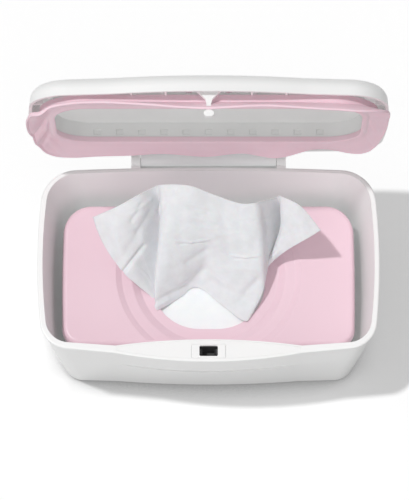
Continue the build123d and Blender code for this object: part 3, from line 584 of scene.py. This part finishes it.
# The lid's gasket
WINDOW_HALF = 103.5
WINDOW_REAR = 30.0
WINDOW_FRONT = -50.0
WINDOW_RADIUS = 25.0
SEAL_BASE = 92.9
SEAL_THICK = 1.1
# The lip as the camera sees it on the open lid: pixel across, pixel down, y with the lid closed
LIP_KEYS = [
    (208, 107.5, -68), (187, 106.8, -67.5), (140, 103.5, -67), (94, 101.7, -66), (70, 103, -65),
    (50, 106.5, -63), (38, 110, -59), (30, 113, -53), (27, 117, -44), (25.7, 122, -30),
    (27.4, 129, -12), (32, 137, 8), (40, 147.7, 32), (47, 153, 44), (56, 155.8, 51),
    (75, 156.8, 55), (94, 155.8, 56), (131, 154.7, 56), (161, 153, 56), (207, 155.8, 56),
    (247, 153, 56), (260, 155.3, 56), (273, 157.3, 56), (285, 156, 56), (301.3, 151.6, 56),
    (310.7, 149, 56), (320, 148.3, 56), (329.3, 148.7, 56), (340, 150.7, 56), (349.3, 152.4, 55),
    (358.7, 153, 53), (368, 151.3, 47), (374.7, 147.3, 39), (381, 139.3, 22), (386, 131.3, 4),
    (389, 120.7, -20), (390, 112.7, -40), (388, 111.5, -47), (380, 110.8, -55), (360, 110.5, -62),
    (340, 109, -64.5), (320, 108, -66), (293, 106.3, -67), (267, 105, -67), (227, 106.6, -68),
]
# Its folds, in pixels: start, end, depth towards the camera, width
SEAL_FOLDS = [
    (45.5, 119.5, 33, 137, -1.6, 1.5),
    (49, 123, 37, 141, 1.0, 2.4),
    (39, 113, 32, 125, 2.4, 6.0),
    (44, 127, 38, 137, 1.4, 4.5),
    (47, 137, 42, 146, -0.7, 1.8),
    (50, 140, 60, 150, 0.5, 3.0),
    (28, 116, 44, 111, 0.8, 2.5),
    (378, 116, 386, 116, 0.5, 2.0),
    (372, 122, 378, 130, 0.6, 2.5),
    (366, 138, 372, 146, -0.5, 2.5),
    (262, 146, 285, 152, 0.5, 3.0),
    (296, 147, 315, 143, -0.5, 3.0),
    (143, 146, 150, 152, -0.4, 2.0),
]


def lid_seen_at(px, py, closed_y):
    """The closed lid's point at closed_y that the camera sees at a pixel when it is open."""
    across = (px - CENTRE_PIXELS[0]) / FOCAL_PIXELS
    above = (CENTRE_PIXELS[1] - py) / FOCAL_PIXELS
    ray = LOOK + np.array([across, 0, 0]) + above * UP
    c = math.cos(LID_OPEN)
    s = math.sin(LID_OPEN)
    y = closed_y - HINGE_Y
    lines = np.array([[ray[1], -s], [ray[2], -c]])
    ends = np.array([HINGE_Y + y * c - EYE[1], HINGE_Z - y * s - EYE[2]])
    reach, above_hinge = np.linalg.solve(lines, ends)
    return EYE[0] + reach * ray[0], closed_y, HINGE_Z + above_hinge


def pixels_of(points):
    """Where the camera sees drawing points."""
    away = points - EYE
    depth = away @ LOOK
    px = CENTRE_PIXELS[0] + FOCAL_PIXELS * away[..., 0] / depth
    return px, CENTRE_PIXELS[1] - FOCAL_PIXELS * (away @ UP) / depth


def lip_line(count):
    keys = np.array([lid_seen_at(*key) for key in LIP_KEYS])
    keys = np.concatenate([keys[-3:], keys, keys[:3]])
    steps = np.concatenate([[0], np.cumsum(np.linalg.norm(np.diff(keys, axis=0), axis=1))])
    at = np.linspace(steps[3], steps[-3], count, endpoint=False)
    return smooth_through(steps, keys, at)


def seal_profile(reach, lip_z):
    """Half-section of the gasket: distance out from the window and height, as a ring."""
    wrap = [
        (0.2, 90.5), (-1.4, 90.5), (-2.1, 90.8), (-2.2, 91.3), (-1.25, 94.6), (-1.1, 94.95),
        (-0.85, 94.95), (-0.68, 94.7), (-0.22, 91.42), (1.7, 91.42), (1.75, SEAL_BASE),
        (6.75, SEAL_BASE), (6.75, 97.0), (6.95, 97.2), (7.85, 97.2), (8.05, 97.0),
    ]
    half = SEAL_THICK / 2
    lip_half = 0.95

    def middle(out):
        drop = np.clip(((out - 2.4) / (reach - 2.4) - 0.22) / 0.78, 0, 1) ** 1.3
        return SEAL_BASE - half + (lip_z - SEAL_BASE + half) * drop

    upper = [(out, middle(out) + half) for out in np.linspace(8.05, reach - 1.3, 14)]
    bead = []
    for k in range(9):
        turn = math.pi / 2 - math.pi * k / 8
        out = reach - lip_half + lip_half * math.cos(turn)
        bead.append((out, lip_z + lip_half * math.sin(turn)))
    lower = [(out, middle(out) - half) for out in np.linspace(reach - 1.6, 2.2, 22)]
    return np.array(wrap + upper + bead + lower + [(1.3, 91.0)])


def gasket():
    lip = lip_line(420)
    core = np.stack(
        [
            np.clip(lip[:, 0], WINDOW_RADIUS - WINDOW_HALF, WINDOW_HALF - WINDOW_RADIUS),
            np.clip(lip[:, 1], WINDOW_FRONT + WINDOW_RADIUS, WINDOW_REAR - WINDOW_RADIUS),
        ],
        -1,
    )
    away = lip[:, :2] - core
    far = np.linalg.norm(away, axis=1)
    out = away / far[:, None]
    rings = []
    for k in range(len(lip)):
        section = seal_profile(far[k] - WINDOW_RADIUS, lip[k, 2])
        flat = core[k] + out[k] * (WINDOW_RADIUS + section[:, :1])
        rings.append(np.concatenate([flat, section[:, 1:]], 1))
    grid = np.array(rings)
    px, py = pixels_of(open_lid(grid))
    soft = np.clip((np.arange(grid.shape[1]) - 17) / 3, 0, 1)
    soft[-4:] = (0.6, 0.3, 0.0, 0.0)
    for fold in SEAL_FOLDS:
        across, past = along_segment(px, py, fold)
        width = fold[5]
        rise = fold[4] * np.exp(-((across / width) ** 2) - (past / (1.5 * width)) ** 2)
        grid[..., 2] -= rise * soft
    stations, points = grid.shape[:2]
    faces = []
    for i in range(stations):
        for j in range(points):
            a = i * points + j
            b = i * points + (j + 1) % points
            c = ((i + 1) % stations) * points + (j + 1) % points
            d = ((i + 1) % stations) * points + j
            faces.append([a, b, c, d])
    return mesh_piece("seal_skirt", row(open_lid(grid)).reshape(-1, 3), faces, rose)


seal = gasket()
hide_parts("lid_gasket")
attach(seal, "lid")

for piece in (wipe, stack, top_wipe, seal):
    edit = piece.modifiers.new("normals", "WEIGHTED_NORMAL")
    edit.keep_sharp = True
    with bpy.context.temp_override(object=piece):
        bpy.ops.object.modifier_apply(modifier=edit.name)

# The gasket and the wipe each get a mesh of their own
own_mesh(seal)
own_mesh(wipe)


# Stage, lamps and camera
floor_data = bpy.data.meshes.new("floor")
floor_data.from_pydata([(-6, -6, 0), (6, -6, 0), (6, 6, 0), (-6, 6, 0)], [], [(0, 1, 2, 3)])
floor = bpy.data.objects.new("floor", floor_data)
bpy.context.scene.collection.objects.link(floor)
made, tree, shader = material("pale_floor")
shader.inputs["Base Color"].default_value = (0.36, 0.36, 0.36, 1)
shader.inputs["Roughness"].default_value = 1.0
shader.inputs["Specular IOR Level"].default_value = 0.0
# What the camera and the glossy and clear pieces see: near white, with painted contact shade where
# an occlusion test darkens the floor's colour near the object
bright = add(tree, "ShaderNodeBsdfDiffuse")
near = add(tree, "ShaderNodeAmbientOcclusion", samples=8)
near.inputs["Distance"].default_value = 0.03
# Painted shade: occlusion near the object darkens the floor's colour itself
painted_contact_shade = remap(tree, near.outputs["AO"], 0.25, 0.99, 0.40, 0.72)
tree.links.new(painted_contact_shade, bright.inputs["Color"])
glow = add(tree, "ShaderNodeEmission")
glow.inputs["Strength"].default_value = 0.20
path = add(tree, "ShaderNodeLightPath")
seen = add(tree, "ShaderNodeMath", operation="MAXIMUM")
reflected = add(tree, "ShaderNodeMath", operation="MAXIMUM")
tree.links.new(path.outputs["Is Glossy Ray"], reflected.inputs[0])
tree.links.new(path.outputs["Is Transmission Ray"], reflected.inputs[1])
tree.links.new(path.outputs["Is Camera Ray"], seen.inputs[0])
tree.links.new(reflected.outputs[0], seen.inputs[1])
both = add(tree, "ShaderNodeAddShader")
tree.links.new(bright.outputs[0], both.inputs[0])
tree.links.new(glow.outputs[0], both.inputs[1])
mixed = add(tree, "ShaderNodeMixShader")
tree.links.new(seen.outputs[0], mixed.inputs["Fac"])
tree.links.new(shader.outputs[0], mixed.inputs[1])
tree.links.new(both.outputs[0], mixed.inputs[2])
tree.links.new(mixed.outputs[0], tree.nodes["Material Output"].inputs["Surface"])
floor_data.materials.append(made)

world = bpy.data.worlds.new("studio")
bpy.context.scene.world = world
world.use_nodes = True
sky = world.node_tree
back = sky.nodes["Background"]
back.inputs["Color"].default_value = (1, 1, 1, 1)
back.inputs["Strength"].default_value = 0.39


def distant_lamp(name, strength, spread, direction):
    lamp = bpy.data.lights.new(name, "SUN")
    lamp.energy = strength
    lamp.angle = math.radians(spread)
    placed = bpy.data.objects.new(name, lamp)
    bpy.context.scene.collection.objects.link(placed)
    placed.rotation_euler = Vector(direction).to_track_quat("-Z", "Y").to_euler()
    return placed


distant_lamp("key", 1.38, 2.5, (0.33, -0.08, -1.0))
# The fill lights the object alone, and only the lid's shell stops it
fill = distant_lamp("fill", 1.10, 90.0, (0.40, 1.0, -0.55))
lit = bpy.data.collections.new("lit_by_fill")
blockers = bpy.data.collections.new("stops_fill")
for thing in bpy.context.scene.objects:
    if thing.type == "MESH" and thing is not floor:
        lit.objects.link(thing)
blockers.objects.link(frame["nodes"]["lid_shell"])
fill.light_linking.receiver_collection = lit
fill.light_linking.blocker_collection = blockers

camera_data = bpy.data.cameras.new("camera")
camera_data.lens = CAMERA_LENS
camera_data.sensor_width = 36.0
camera_data.clip_end = 20.0
camera = bpy.data.objects.new("camera", camera_data)
bpy.context.scene.collection.objects.link(camera)
camera.location = tuple(row(EYE))
camera.rotation_euler = (math.pi / 2 - CAMERA_TILT, 0.0, 0.0)
bpy.context.scene.camera = camera
bpy.context.scene.view_settings.view_transform = "Standard"
